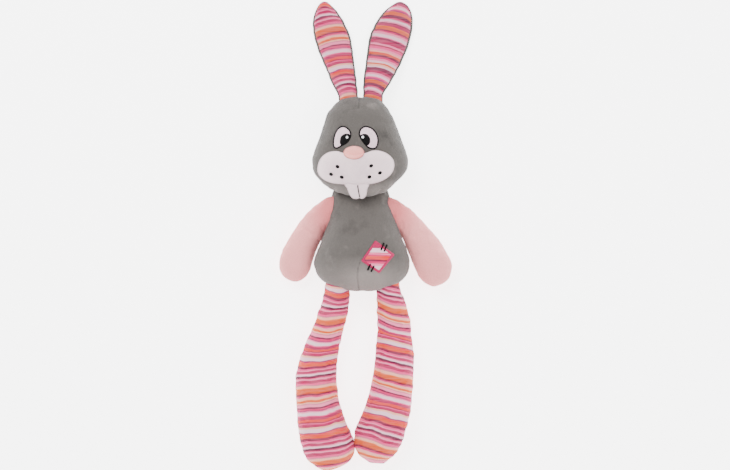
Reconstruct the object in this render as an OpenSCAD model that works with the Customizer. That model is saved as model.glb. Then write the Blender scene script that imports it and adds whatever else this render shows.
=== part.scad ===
// Plush rabbit with ears and legs of striped printed cotton, lying on its back.
// Millimetres. +Z is the way the face looks, +Y runs from the feet to the ears.
// "left" and "right" are the rabbit's own, so its left side is on +X.

/* [Fabrics] */
// Thickness of the short-pile plush
plush_t = 2; // [1:0.25:2]
// Thickness of the printed cotton, with its fusible backing
cotton_t = 0.8; // [0.4:0.1:1.4]
// Space between a skin and the stuffing under it
fill_gap = 0.3; // [0.1:0.1:0.4]

/* [Stuffing] */
// How far a part's underside spreads flat where it lies, 1 being not at all
flatness = 1.18; // [1:0.02:1.3]
// Height of the padded muzzle over the face
muzzle_h = 9; // [4:0.5:12]
// Height of the nose over the muzzle
nose_h = 5; // [2:0.5:7]

/* [Trim] */
// Thickness of the embroidered eyes and spots
thread_h = 0.8; // [0.4:0.1:1.5]
// Width of the black line round each eye
eye_line = 1.6; // [1:0.2:3]
// Width of the satin-stitch border round the patch
border_w = 2.6; // [1.5:0.1:4]
// Diameter of the sewing thread that holds a limb on
thread_d = 0.8; // [0.4:0.1:1.2]

/* [Hidden] */

GREY = "#8c8983";
PINK = "#e3b9b9";
WHITE = "#e6e1e2";
NOSE = "#e9b9b4";
PRINT = "#dc7fa4";
MAGENTA = "#c2447c";
BLACK = "#17151a";
FILL = "#f4f2ec";

half_steps = 9;        // steps round half of a cross-section
seam_gap = 0.1;        // between the two skins at their seam
small = 0.4;           // least half size of an inner section
lift = 0.3;            // clear space under trim that is sewn on
wadding_floor = 0.8;   // clear space under the muzzle's wadding
wadding_share = 0.45;  // height of that wadding, as a share of the muzzle's
wadding_inset = 3;     // from the muzzle's plush to its wadding
hollow_share = 0.9;    // height of the hollow in the muzzle, as a share of its own
nose_floor = 1.6;      // height of the nose's edge over the muzzle
dome_power = 2.4;      // how late a pad's height falls off towards its edge
ring_height = 1.3;     // black eye line, in thicknesses of thread
PUPIL_LAYER = [1.35, 2.2];  // floor and roof of a pupil, in thicknesses of thread
GLINT_LAYER = [2.3, 3];     // the same for the glint on it
patch_half = 12;       // from the patch's middle to its side
bar_floor = 2.6;       // height of the patch's black stitches over the belly
stitch_share = 0.55;   // length of a stitch, as a share of the space between two
neck_ring_r = 5;       // radius of the ring of stitches at the neck
corner_r = 1.2;        // rounding of the teeth's corners
line_half = 0.55;      // half the width of the line between the teeth
TEETH_LINE = [[-9.9, 56], [-7.8, 43.5]];

// A station is one cross-section of a stuffed part, square to its centreline:
// [x, y, half width, lowest z, z of the side seams, highest z].
BODY = [
    [-4.6, -66, 4, 26, 31, 36], [-4.6, -63.3, 20, 19, 31, 43], [-4.6, -60, 33, 12, 31, 50],
    [-4.6, -54, 45.5, 5, 31, 58], [-4.8, -46, 52.5, 1, 31, 65], [-4.8, -36, 56, 0, 31, 70],
    [-4.6, -26, 55, 0, 31, 72], [-4.2, -12, 50.5, 0, 31, 71], [-4.2, 3, 45, 0, 31, 67],
    [-4.6, 18, 40.8, 0, 31, 58], [-5.6, 33, 37, 0, 30, 47], [-6, 42, 34, 3, 29, 40],
    [-6.2, 47.5, 26, 9, 28, 36], [-6.2, 50.4, 15, 16, 28, 34], [-6.2, 53, 5, 22, 28, 31],
];
HEAD = [
    [-7.6, 46.5, 5, 54, 58, 61], [-7.6, 50, 20, 49, 56, 67], [-7.6, 54, 31, 44, 52, 71],
    [-7.6, 58.5, 40, 33, 46, 74], [-7.6, 65, 46.5, 17, 40, 76], [-7.4, 73, 53.5, 5, 36, 78],
    [-7, 85, 56.4, 0, 35, 79], [-6.9, 98, 53.5, 0, 34, 77], [-6.9, 112, 47.5, 0, 33, 73],
    [-7, 126, 43, 0, 32, 67], [-7.3, 138, 39, 1, 31, 60], [-7.4, 147, 34, 6, 30, 52],
    [-7.4, 154, 28.5, 13, 29, 43], [-7.4, 158, 22, 20, 29, 37], [-7.4, 160.5, 10, 25, 29, 33],
];
RIGHT_ARM = [
    [-48, 30, 2.5, 28.5, 30, 31.5], [-51.4, 28, 8, 22.5, 28, 32.5], [-56, 24, 12.2, 13, 23.5, 33],
    [-62, 15.5, 14.4, 5, 19, 33], [-68.8, 2.5, 16.2, 0, 17, 33], [-75.6, -13, 17.8, 0, 17, 34],
    [-81.1, -28, 19, 0, 17, 34], [-82.9, -38, 17.8, 0, 17, 32], [-83.1, -46, 13.2, 3, 17, 28],
    [-83.1, -51.3, 7, 9, 16.5, 22.4], [-83.1, -54, 2, 14, 16, 18],
];
LEFT_ARM = [
    [36.8, 31.4, 2.5, 28.5, 30, 31.5], [40.8, 29.8, 8, 22.5, 28, 32.5], [46, 25.8, 12.2, 13, 23.5, 33],
    [53.2, 16.4, 14.6, 5, 19, 34], [61.2, 3, 17.2, 0, 18, 35], [69.8, -13, 20, 0, 18, 36],
    [77.4, -28, 21.8, 0, 18, 36], [80.4, -41, 20.4, 0, 18, 34], [80.6, -50, 15.8, 3, 17.5, 29],
    [80.2, -56.4, 8, 9, 17, 23], [79.8, -59, 2, 14, 16, 18],
];
RIGHT_LEG = [
    [-33.6, -67, 2.4, 29.5, 31, 32.5], [-34, -70, 7, 24, 29, 33.5], [-34.8, -75, 13.5, 14, 25, 34],
    [-37.1, -84, 16.8, 4, 19, 33], [-42.1, -101, 18.4, 0, 17, 33], [-48.6, -122, 20.2, 0, 17, 34],
    [-54.6, -145, 22.7, 0, 18, 37], [-57.6, -170, 25.8, 0, 20, 41], [-56.1, -195, 28, 0, 21, 44],
    [-52.2, -218, 31, 0, 22, 46], [-47.6, -240, 33.2, 0, 22.5, 47], [-44.8, -256, 31, 0, 22, 45],
    [-44.6, -266, 25.5, 2, 21, 40], [-45.8, -272.6, 15.5, 8, 20.5, 33], [-46.2, -275.8, 4, 17, 20, 23],
];
LEFT_LEG = [
    [26, -66.5, 2.4, 29.5, 31, 32.5], [26.4, -69.5, 7, 24, 29, 33.5], [27.4, -75, 13.5, 14, 25, 34],
    [30, -84, 16.6, 4, 19, 33], [33.6, -102, 19.2, 0, 17, 33], [34.6, -124, 21.1, 0, 18, 35],
    [33.6, -147, 23.3, 0, 19, 38], [31.6, -170, 25.6, 0, 20, 41], [27.8, -193, 28.6, 0, 21, 44],
    [23, -215, 31, 0, 22, 46], [18.7, -235, 30.2, 0, 22, 46], [16.4, -250, 27, 0, 21.5, 43],
    [15.4, -260, 21, 2, 21, 38], [15.4, -267, 10.5, 10, 20, 30], [15.6, -269.5, 3, 17, 20, 23],
];
RIGHT_EAR = [
    [-20.8, 163.8, 2.5, 27, 29, 31], [-21.3, 166.2, 7, 25, 28.5, 31.5], [-22.2, 170, 13.4, 22, 27, 31.5],
    [-25.1, 178, 15.6, 16, 22.5, 28.5], [-29.6, 193, 18, 9, 15.5, 22], [-34.6, 212, 20.6, 3, 9.5, 16],
    [-39.1, 230, 22, 0, 6, 12.5], [-42.6, 246, 20.8, 0, 5, 11.5], [-45.2, 258, 17.6, 0, 5, 11],
    [-47.2, 267, 12.8, 0, 5, 10], [-48.4, 273.5, 6.6, 1, 5, 8.5], [-48.8, 276, 2, 3.5, 5, 6.5],
];
LEFT_EAR = [
    [8, 163.8, 2.5, 27, 29, 31], [8.8, 166.2, 7, 25, 28.5, 31.5], [10.1, 170, 13.4, 22, 27, 31.5],
    [13, 178, 16.4, 16, 22.5, 28.5], [17.8, 193, 19.6, 9, 15.5, 22], [23.2, 212, 22.8, 3, 9.5, 16],
    [28, 230, 24.6, 0, 6, 12.5], [32, 246, 23, 0, 5, 11.5], [35.4, 258, 19.2, 0, 5, 11],
    [38.4, 267, 13.4, 0, 5, 10], [40.6, 273.5, 6.6, 1, 5, 8.5], [41.4, 276, 2, 3.5, 5, 6.5],
];

// Where each sewn joint turns.
NECK = [-6.6, 55.7, 29];
RIGHT_SHOULDER = [-46.2, 33, 30];
LEFT_SHOULDER = [34, 34, 30];
RIGHT_HIP = [-33.6, -65.4, 31];
LEFT_HIP = [26, -65, 31];
RIGHT_EAR_ROOT = [-20.6, 162.3, 29];
LEFT_EAR_ROOT = [7.8, 162.3, 29];

// Face and trim, all as seen from the front.
MUZZLE_AT = [-12, 78.8];
MUZZLE_HALF = [45.2, 20.2];
muzzle_power = 2.5;
NOSE_AT = [-14.2, 95.4];
NOSE_HALF = [11.8, 8];
RIGHT_EYE = [-27.9, 114.6];
LEFT_EYE = [3.8, 114.2];
EYE_HALF = [9.4, 12.6];
eye_tilt = 15;
RIGHT_PUPIL = [-25, 111.6];
LEFT_PUPIL = [0, 111];
PUPIL_HALF = [5.8, 6.8];
RIGHT_GLINT = [-22.2, 114.1];
LEFT_GLINT = [-3.4, 114.1];
glint_r = 1.7;
RIGHT_SPOTS = [[-33.1, 79.5], [-40.6, 70.7], [-28.3, 67.4]];
LEFT_SPOTS = [[6.5, 80.6], [16.7, 72], [4.3, 67.8]];
SPOT_HALF = [1.9, 1.5];
PATCH = [[11.2, -6.8], [32.9, -22.3], [15.3, -44.6], [-5.6, -31.2]];
STITCH_PAIRS = [[[19.6, -13.4], 63], [[23.1, -16.1], 63], [[4.2, -37.8], 60], [[7.4, -40], 60]];
stitch_l = 9.5;
stitch_w = 2;
TEETH = [[-22.6, 57], [2.8, 57], [0.9, 46], [-2.1, 42], [-6.6, 41.2], [-7.8, 42.2],
    [-9, 41.2], [-13.6, 41.6], [-17, 45]];
TEETH_HINGE = [-9.6, 57, 75.8];
teeth_drop = 25;
teeth_t = 1.4;

// --- Sections and lofts -------------------------------------------------

function last(list) = len(list) - 1;
function flat2(v) = [v.x, v.y];
function unit(v) = v / norm(v);
function along(path, i) = unit(flat2(path[min(i + 1, last(path))]) - flat2(path[max(i - 1, 0)]));

// A point on a station's section at angle a, with the section drawn in by d.
function section_point(path, i, a, d) =
    let (
        s = path[i],
        dir = along(path, i),
        side = [dir.y, -dir.x],
        ends = i == 0 ? 1 : i == last(path) ? -1 : 0,
        centre = flat2(s) + dir * d * ends,
        half = max(s[2] - d, small),
        across = centre + side * half * cos(a),
        rise = max(s[5] - s[4] - d, small) * sin(a),
        fall = max(s[4] - s[3] - d, small) * max(-1, flatness * sin(a))
    )
    [across.x, across.y, s[4] + (a <= 180 ? rise : fall)];

function half_angles(from) =
    [for (k = [0:half_steps]) from + 180 * k / half_steps];

// One skin's sections from one side seam to the other, "from" being 0 for the front and 180 for the back.
function half_grid(path, from, d) =
    [for (i = [0:last(path)]) [for (a = half_angles(from)) section_point(path, i, a, d)]];

function full_grid(path, d) =
    [for (i = [0:last(path)])
        [for (k = [0:2 * half_steps - 1]) section_point(path, i, 180 * k / half_steps, d)]];

function flatten(rows) = [for (row = rows) each row];
function quad(a, b, c, d) = [[a, b, c], [a, c, d]];

// A closed sheet between an outer and an inner grid of the same size. With loop, each row closes on itself.
module sheet(outer, inner, loop = false) {
    rows = len(outer);
    cols = len(outer[0]);
    back = rows * cols;
    wrap = loop ? cols : cols - 1;
    at = function(i, j) i * cols + j % cols;
    faces = [
        for (i = [0:rows - 2]) for (j = [0:wrap - 1])
            each concat(
                quad(at(i, j), at(i, j + 1), at(i + 1, j + 1), at(i + 1, j)),
                quad(
                    back + at(i, j), back + at(i + 1, j),
                    back + at(i + 1, j + 1), back + at(i, j + 1))),
        for (j = [0:wrap - 1])
            each concat(
                quad(at(0, j), back + at(0, j), back + at(0, j + 1), at(0, j + 1)),
                quad(
                    at(rows - 1, j), at(rows - 1, j + 1),
                    back + at(rows - 1, j + 1), back + at(rows - 1, j))),
        if (!loop) for (i = [0:rows - 2])
            each concat(
                quad(at(i, 0), at(i + 1, 0), back + at(i + 1, 0), back + at(i, 0)),
                quad(
                    at(i, cols - 1), back + at(i, cols - 1),
                    back + at(i + 1, cols - 1), at(i + 1, cols - 1))),
    ];
    polyhedron(concat(flatten(outer), flatten(inner)), faces);
}

// A closed solid with the given loops as its sections.
module loft(loops) {
    cols = len(loops[0]);
    at = function(i, j) i * cols + j % cols;
    faces = [
        [for (j = [cols - 1:-1:0]) at(0, j)],
        [for (j = [0:cols - 1]) at(last(loops), j)],
        for (i = [0:len(loops) - 2]) for (j = [0:cols - 1])
            each quad(at(i, j), at(i, j + 1), at(i + 1, j + 1), at(i + 1, j)),
    ];
    polyhedron(flatten(loops), faces);
}

module front_skin(path, t)
    translate([0, 0, seam_gap])
        sheet(half_grid(path, 0, 0), half_grid(path, 0, t));

module back_skin(path, t)
    sheet(half_grid(path, 180, 0), half_grid(path, 180, t));

module filling(path, t)
    loft(full_grid(path, t + fill_gap));

// --- Heights of the surfaces that trim is sewn to ------------------------

// A station's numbers where the part crosses y.
function station_at(path, y) =
    let (
        after = [for (i = [1:last(path)]) if (path[i].y >= y) i],
        i = len(after) > 0 ? after[0] : last(path),
        share = min(1, max(0, (y - path[i - 1].y) / (path[i].y - path[i - 1].y)))
    )
    path[i - 1] * (1 - share) + path[i] * share;

function front_z(path, p) =
    let (s = station_at(path, p.y), across = min(1, abs(p.x - s[0]) / s[2]))
    s[4] + seam_gap + (s[5] - s[4]) * sqrt(1 - across * across);

function muzzle_reach(p) =
    let (d = [abs(p.x - MUZZLE_AT.x) / MUZZLE_HALF.x, abs(p.y - MUZZLE_AT.y) / MUZZLE_HALF.y])
    pow(pow(d.x, muzzle_power) + pow(d.y, muzzle_power), 1 / muzzle_power);

function dome(r) = sqrt(max(0, 1 - pow(min(r, 1), dome_power)));
face_z = function(p) front_z(HEAD, p);
belly_z = function(p) front_z(BODY, p);
muzzle_z = function(p)
    let (reach = muzzle_reach(p))
    face_z(p) + (reach < 1 ? plush_t + muzzle_h * dome(reach) : 0);

// --- Pads: trim that follows the surface under it ------------------------

function oval(at, half, tilt = 0, n = 20, power = 2) =
    [for (k = [0:n - 1])
        let (
            a = 360 * k / n,
            r = pow(pow(abs(cos(a)), power) + pow(abs(sin(a)), power), -1 / power),
            p = [half.x * r * cos(a), half.y * r * sin(a)]
        )
        at + [p.x * cos(tilt) - p.y * sin(tilt), p.x * sin(tilt) + p.y * cos(tilt)]];

// A polygon with each side cut into n, so that a pad can bend between its corners.
function subdivided(corners, n) =
    [for (i = [0:last(corners)]) for (k = [0:n - 1])
        corners[i] + (corners[(i + 1) % len(corners)] - corners[i]) * k / n];

function middle(outline) = [for (axis = [0, 1]) let (v = [for (p = outline) p[axis]]) (min(v) + max(v)) / 2];

// The points of ring r of an outline, at height(r) over the surface.
function pad_ring(base_z, outline, r, height) =
    let (c = middle(outline))
    [for (o = outline) let (p = c + (o - c) * r) [p.x, p.y, base_z(p) + height(r)]];

// A solid pad over the outline, from floor(r) to roof(r) above base_z. r is 0 at its middle and 1 at its edge.
module pad(base_z, outline, floor, roof, rings = 3) {
    n = len(outline);
    c = middle(outline);
    shares = [for (k = [1:rings]) k / rings];
    tops = [for (r = shares) pad_ring(base_z, outline, r, roof)];
    bottoms = [for (r = shares) pad_ring(base_z, outline, r, floor)];
    hub = 2 * rings * n;
    at = function(i, j) i * n + j % n;
    low = rings * n;
    faces = [
        for (j = [0:n - 1])
            each [[hub, at(0, j + 1), at(0, j)], [hub + 1, low + at(0, j), low + at(0, j + 1)]],
        if (rings > 1) for (i = [0:rings - 2]) for (j = [0:n - 1])
            each concat(
                quad(at(i, j), at(i, j + 1), at(i + 1, j + 1), at(i + 1, j)),
                quad(low + at(i, j), low + at(i + 1, j), low + at(i + 1, j + 1), low + at(i, j + 1))),
        for (j = [0:n - 1])
            each quad(
                at(rings - 1, j), at(rings - 1, j + 1),
                low + at(rings - 1, j + 1), low + at(rings - 1, j)),
    ];
    hubs = [[c.x, c.y, base_z(c) + roof(0)], [c.x, c.y, base_z(c) + floor(0)]];
    polyhedron(concat(flatten(tops), flatten(bottoms), hubs), faces);
}

// A flat band of the outline from share r0 of its size to its edge.
module band(base_z, outline, r0, low, high) {
    sheet(
        [for (r = [r0, 1]) pad_ring(base_z, outline, r, function(r) high)],
        [for (r = [r0, 1]) pad_ring(base_z, outline, r, function(r) low)],
        loop = true);
}

function level(h) = function(r) h;

// --- Sewn joints ---------------------------------------------------------

// One stitch: a short bar of thread.
module stitch(length)
    rotate([0, 90, 0]) cylinder(d = thread_d, h = length, center = true, $fn = 24);

// A row of stitches centred on a hinge, along X or turned from it.
module stitch_row(at, turn = 0, count = 5, pitch = 3)
    translate(at) rotate([0, 0, turn]) for (k = [0:count - 1])
        translate([(k - (count - 1) / 2) * pitch, 0, 0]) stitch(pitch * stitch_share);

// A ring of stitches in the YZ plane.
module stitch_ring(at, r, count = 10)
    for (k = [0:count - 1])
        translate(at) rotate([360 * k / count, 0, 0])
            translate([0, 0, r]) rotate([0, 0, 90]) stitch(PI * r / count);

// --- Sub-parts -----------------------------------------------------------

module body_front_panel() color(GREY) front_skin(BODY, plush_t);
module body_back_panel() color(GREY) back_skin(BODY, plush_t);
module body_stuffing() color(FILL) filling(BODY, plush_t);

border_share = border_w / patch_half;
inner_patch = [for (p = PATCH) middle(PATCH) + (p - middle(PATCH)) * (1 - border_share)];
module belly_patch()
    color(PRINT) pad(belly_z, subdivided(inner_patch, 4), level(lift), level(lift + cotton_t));
module patch_border()
    color(MAGENTA) band(belly_z, subdivided(PATCH, 4), 1.01 - border_share, lift, lift + cotton_t + thread_h);
module patch_stitches()
    color(BLACK) for (s = STITCH_PAIRS)
        pad(belly_z, stitch_outline(s[0], s[1]), level(bar_floor), level(bar_floor + thread_h), rings = 1);
function stitch_outline(at, turn) = oval(at, [stitch_l / 2, stitch_w / 2], turn, 12, 4);

module neck_stitching() color(GREY)
    translate(NECK) rotate([0, 0, 90]) stitch_ring([0, 0, 0], neck_ring_r, 8);

module head_front_panel() color(GREY) front_skin(HEAD, plush_t);
module head_back_panel() color(GREY) back_skin(HEAD, plush_t);
module head_stuffing() color(FILL) filling(HEAD, plush_t);

muzzle_edge = oval(MUZZLE_AT, MUZZLE_HALF, 0, 28, muzzle_power);
module muzzle_cover() color(WHITE) difference() {
    pad(face_z, muzzle_edge, level(lift), function(r) plush_t + muzzle_h * dome(r), rings = 5);
    pad(face_z, inset_oval(plush_t), level(-1), function(r) muzzle_h * dome(r) * hollow_share, rings = 4);
}
function inset_oval(d) = oval(MUZZLE_AT, MUZZLE_HALF - [d, d], 0, 28, muzzle_power);
module muzzle_wadding() color(FILL)
    pad(face_z, inset_oval(plush_t + wadding_inset), level(wadding_floor),
        function(r) wadding_floor + muzzle_h * wadding_share * max(0.1, dome(r)), rings = 4);
module nose() color(NOSE)
    pad(muzzle_z, oval(NOSE_AT, NOSE_HALF), level(2 * lift),
        function(r) nose_floor + nose_h * dome(r), rings = 4);

function eye_outline(at, tilt) = oval(at, EYE_HALF, tilt, 24);
eye_share = 1 - eye_line / EYE_HALF.x;
module eye_white(at, tilt) color(WHITE)
    pad(face_z, oval(at, EYE_HALF * (eye_share - 0.02), tilt, 24), level(lift), level(lift + thread_h));
module eye_ring(at, tilt) color(BLACK)
    band(face_z, eye_outline(at, tilt), eye_share, lift, lift + ring_height * thread_h);
module pupil(at) color(BLACK)
    pad(face_z, oval(at, PUPIL_HALF),
        level(lift + PUPIL_LAYER[0] * thread_h), level(lift + PUPIL_LAYER[1] * thread_h), rings = 2);
module glint(at) color("white")
    pad(face_z, oval(at, [glint_r, glint_r], 0, 12),
        level(lift + GLINT_LAYER[0] * thread_h), level(lift + GLINT_LAYER[1] * thread_h), rings = 1);
module spots(places) color(BLACK)
    for (p = places)
        pad(muzzle_z, oval(p, SPOT_HALF, 0, 12), level(2 * lift), level(2 * lift + thread_h), rings = 1);

// The teeth hang from their hinge, sloping down over the chin.
module on_teeth(h, thickness)
    translate(TEETH_HINGE) rotate([teeth_drop, 0, 0]) translate([0, 0, h])
        linear_extrude(thickness) translate(-flat2(TEETH_HINGE)) children();
module teeth_shape() offset(corner_r, $fn = 24) offset(-corner_r) polygon(TEETH);
module teeth_back() color(WHITE) on_teeth(-teeth_t, teeth_t - seam_gap / 2) teeth_shape();
module teeth_front() color(WHITE) on_teeth(seam_gap / 2, teeth_t) teeth_shape();
module teeth_line() color(BLACK) on_teeth(teeth_t + seam_gap, thread_h)
    hull() for (p = TEETH_LINE) translate(p) circle(line_half, $fn = 16);

// The sub-parts that come in pairs.
module right_eye_white() eye_white(RIGHT_EYE, -eye_tilt);
module right_eye_outline() eye_ring(RIGHT_EYE, -eye_tilt);
module right_pupil() pupil(RIGHT_PUPIL);
module right_eye_glint() glint(RIGHT_GLINT);
module left_eye_white() eye_white(LEFT_EYE, eye_tilt);
module left_eye_outline() eye_ring(LEFT_EYE, eye_tilt);
module left_pupil() pupil(LEFT_PUPIL);
module left_eye_glint() glint(LEFT_GLINT);
module right_whisker_spots() spots(RIGHT_SPOTS);
module left_whisker_spots() spots(LEFT_SPOTS);
module right_ear_front() color(PRINT) front_skin(RIGHT_EAR, cotton_t);
module right_ear_back() color(GREY) back_skin(RIGHT_EAR, plush_t);
module right_ear_wadding() color(FILL) filling(RIGHT_EAR, plush_t);
module right_ear_stitching() color(GREY) stitch_row(RIGHT_EAR_ROOT);
module left_ear_front() color(PRINT) front_skin(LEFT_EAR, cotton_t);
module left_ear_back() color(GREY) back_skin(LEFT_EAR, plush_t);
module left_ear_wadding() color(FILL) filling(LEFT_EAR, plush_t);
module left_ear_stitching() color(GREY) stitch_row(LEFT_EAR_ROOT);
module right_arm_front() color(PINK) front_skin(RIGHT_ARM, plush_t);
module right_arm_back() color(PINK) back_skin(RIGHT_ARM, plush_t);
module right_arm_stuffing() color(FILL) filling(RIGHT_ARM, plush_t);
module right_shoulder_stitching() color(PINK) stitch_row(RIGHT_SHOULDER, 90, 3);
module left_arm_front() color(PINK) front_skin(LEFT_ARM, plush_t);
module left_arm_back() color(PINK) back_skin(LEFT_ARM, plush_t);
module left_arm_stuffing() color(FILL) filling(LEFT_ARM, plush_t);
module left_shoulder_stitching() color(PINK) stitch_row(LEFT_SHOULDER, 90, 3);
module right_leg_front() color(PRINT) front_skin(RIGHT_LEG, cotton_t);
module right_leg_back() color(PRINT) back_skin(RIGHT_LEG, cotton_t);
module right_leg_stuffing() color(FILL) filling(RIGHT_LEG, cotton_t);
module right_hip_stitching() color(MAGENTA) stitch_row(RIGHT_HIP);
module left_leg_front() color(PRINT) front_skin(LEFT_LEG, cotton_t);
module left_leg_back() color(PRINT) back_skin(LEFT_LEG, cotton_t);
module left_leg_stuffing() color(FILL) filling(LEFT_LEG, cotton_t);
module left_hip_stitching() color(MAGENTA) stitch_row(LEFT_HIP);

// --- The model -----------------------------------------------------------

body_front_panel();
body_back_panel();
body_stuffing();
belly_patch();
patch_border();
patch_stitches();
neck_stitching();
head_front_panel();
head_back_panel();
head_stuffing();
muzzle_cover();
muzzle_wadding();
nose();
right_eye_white();
right_eye_outline();
right_pupil();
right_eye_glint();
left_eye_white();
left_eye_outline();
left_pupil();
left_eye_glint();
right_whisker_spots();
left_whisker_spots();
teeth_front();
teeth_back();
teeth_line();
right_ear_front();
right_ear_back();
right_ear_wadding();
right_ear_stitching();
left_ear_front();
left_ear_back();
left_ear_wadding();
left_ear_stitching();
right_arm_front();
right_arm_back();
right_arm_stuffing();
right_shoulder_stitching();
left_arm_front();
left_arm_back();
left_arm_stuffing();
left_shoulder_stitching();
right_leg_front();
right_leg_back();
right_leg_stuffing();
right_hip_stitching();
left_leg_front();
left_leg_back();
left_leg_stuffing();
left_hip_stitching();
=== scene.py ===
"""A plush rabbit with ears and legs of striped cotton, lying on its back.

Lengths are written in millimetres and turned into metres where meshes are made.
Left and right are the rabbit's own, so its left side is on +X.
"""
import bpy
import math
import numpy as np
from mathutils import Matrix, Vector
from mathutils.bvhtree import BVHTree


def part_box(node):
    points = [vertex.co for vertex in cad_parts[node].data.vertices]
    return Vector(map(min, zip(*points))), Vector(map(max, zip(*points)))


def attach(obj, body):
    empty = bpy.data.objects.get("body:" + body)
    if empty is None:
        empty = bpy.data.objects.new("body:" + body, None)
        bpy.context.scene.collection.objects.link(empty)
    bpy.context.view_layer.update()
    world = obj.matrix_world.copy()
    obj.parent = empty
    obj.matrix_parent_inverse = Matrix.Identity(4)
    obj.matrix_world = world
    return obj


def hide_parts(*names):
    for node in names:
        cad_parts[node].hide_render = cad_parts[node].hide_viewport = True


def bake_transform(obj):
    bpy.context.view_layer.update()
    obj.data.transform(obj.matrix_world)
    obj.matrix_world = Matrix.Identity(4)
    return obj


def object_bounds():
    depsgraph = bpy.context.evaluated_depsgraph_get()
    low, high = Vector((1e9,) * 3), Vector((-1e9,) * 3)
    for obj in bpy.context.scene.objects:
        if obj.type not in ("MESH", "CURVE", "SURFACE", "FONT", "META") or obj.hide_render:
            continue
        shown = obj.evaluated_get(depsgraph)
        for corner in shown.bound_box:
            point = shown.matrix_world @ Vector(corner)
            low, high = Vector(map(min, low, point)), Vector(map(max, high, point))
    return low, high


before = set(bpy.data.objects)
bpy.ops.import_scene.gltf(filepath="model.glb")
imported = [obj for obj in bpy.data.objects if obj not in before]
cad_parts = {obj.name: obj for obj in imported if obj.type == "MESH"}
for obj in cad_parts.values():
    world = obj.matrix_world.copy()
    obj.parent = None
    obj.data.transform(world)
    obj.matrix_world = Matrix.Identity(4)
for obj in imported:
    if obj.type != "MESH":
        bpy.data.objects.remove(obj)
cad_lo, cad_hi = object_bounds()
MM = 0.001

# ---------------------------------------------------------------- camera

LENS = 400.0               # a long lens from far off, so the ears and feet keep their size
SENSOR = 36.0
VIEW_WIDTH = 857.7          # what the picture is wide, at the rabbit's middle height
VIEW_CENTRE = (-1.0, -0.4)
middle_z = (cad_lo.z + cad_hi.z) / 2 / MM

camera = bpy.data.objects.new("camera", bpy.data.cameras.new("camera"))
bpy.context.scene.collection.objects.link(camera)
camera.data.lens = LENS
camera.data.sensor_width = SENSOR
camera.data.clip_end = 60
camera.location = Vector((*VIEW_CENTRE, middle_z + VIEW_WIDTH * LENS / SENSOR)) * MM
bpy.context.scene.camera = camera

# ---------------------------------------------------------------- node helpers


def linear(srgb):
    """A colour given as 0-255 sRGB, as the linear values that shaders take."""
    values = [c / 255 for c in srgb]
    return [c / 12.92 if c <= 0.04045 else ((c + 0.055) / 1.055) ** 2.4 for c in values] + [1.0]


class Nodes:
    """A material's node tree, with one short method for each kind of node used."""

    def __init__(self, name):
        self.material = bpy.data.materials.new(name)
        self.material.use_nodes = True
        self.tree = self.material.node_tree
        self.shader = self.tree.nodes["Principled BSDF"]

    def new(self, kind, **settings):
        node = self.tree.nodes.new(kind)
        for key, value in settings.items():
            setattr(node, key, value)
        return node

    def link(self, a, b):
        self.tree.links.new(a, b)

    def attribute(self, name):
        return self.new("ShaderNodeAttribute", attribute_name=name)

    def math(self, operation, a, b=None):
        node = self.new("ShaderNodeMath", operation=operation)
        for socket, value in zip(node.inputs, (a, b)):
            if value is None:
                continue
            if isinstance(value, (int, float)):
                socket.default_value = value
            else:
                self.link(value, socket)
        return node.outputs[0]

    def rest(self):
        """The piece's rest position in millimetres, which stays with the cloth when it moves."""
        return self.attribute("rest").outputs["Vector"]

    def scaled(self, vector, factors):
        node = self.new("ShaderNodeVectorMath", operation="MULTIPLY")
        self.link(vector, node.inputs[0])
        node.inputs[1].default_value = factors
        return node.outputs[0]

    def noise(self, vector, size, detail=2.0, roughness=0.5):
        """Noise whose patches are about size millimetres across."""
        node = self.new("ShaderNodeTexNoise")
        node.inputs["Scale"].default_value = 1.0 / size
        node.inputs["Detail"].default_value = detail
        node.inputs["Roughness"].default_value = roughness
        self.link(vector, node.inputs["Vector"])
        return node.outputs["Fac"]

    def ramp(self, value, stops):
        node = self.new("ShaderNodeValToRGB")
        elements = node.color_ramp.elements
        while len(elements) < len(stops):
            elements.new(0.5)
        for element, (position, colour) in zip(elements, stops):
            element.position = position
            element.color = colour
        self.link(value, node.inputs["Fac"])
        return node.outputs["Color"]

    def mix(self, factor, a, b):
        node = self.new("ShaderNodeMix", data_type="RGBA")
        for socket, value in ((node.inputs["Factor"], factor), (node.inputs["A"], a), (node.inputs["B"], b)):
            if hasattr(value, "is_linked"):
                self.link(value, socket)
            else:
                socket.default_value = value
        return node.outputs["Result"]

    def range(self, value, low, high, out_low=0.0, out_high=1.0):
        node = self.new("ShaderNodeMapRange")
        self.link(value, node.inputs["Value"])
        for key, number in (("From Min", low), ("From Max", high), ("To Min", out_low), ("To Max", out_high)):
            node.inputs[key].default_value = number
        return node.outputs["Result"]

    def bump(self, height, distance_mm, strength=1.0, after=None):
        node = self.new("ShaderNodeBump")
        node.inputs["Distance"].default_value = distance_mm * MM
        node.inputs["Strength"].default_value = strength
        self.link(height, node.inputs["Height"])
        if after is not None:
            self.link(after, node.inputs["Normal"])
        return node.outputs["Normal"]

    def finish(self, colour, normal, roughness=0.9, sheen=0.0, sheen_roughness=0.5, specular=0.2):
        self.link(colour, self.shader.inputs["Base Color"])
        self.link(normal, self.shader.inputs["Normal"])
        self.shader.inputs["Roughness"].default_value = roughness
        self.shader.inputs["Sheen Weight"].default_value = sheen
        self.shader.inputs["Sheen Roughness"].default_value = sheen_roughness
        self.shader.inputs["Specular IOR Level"].default_value = specular
        return self.material


# ---------------------------------------------------------------- materials

REPEAT = 80.0               # length of the print's repeat along the cloth

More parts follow.
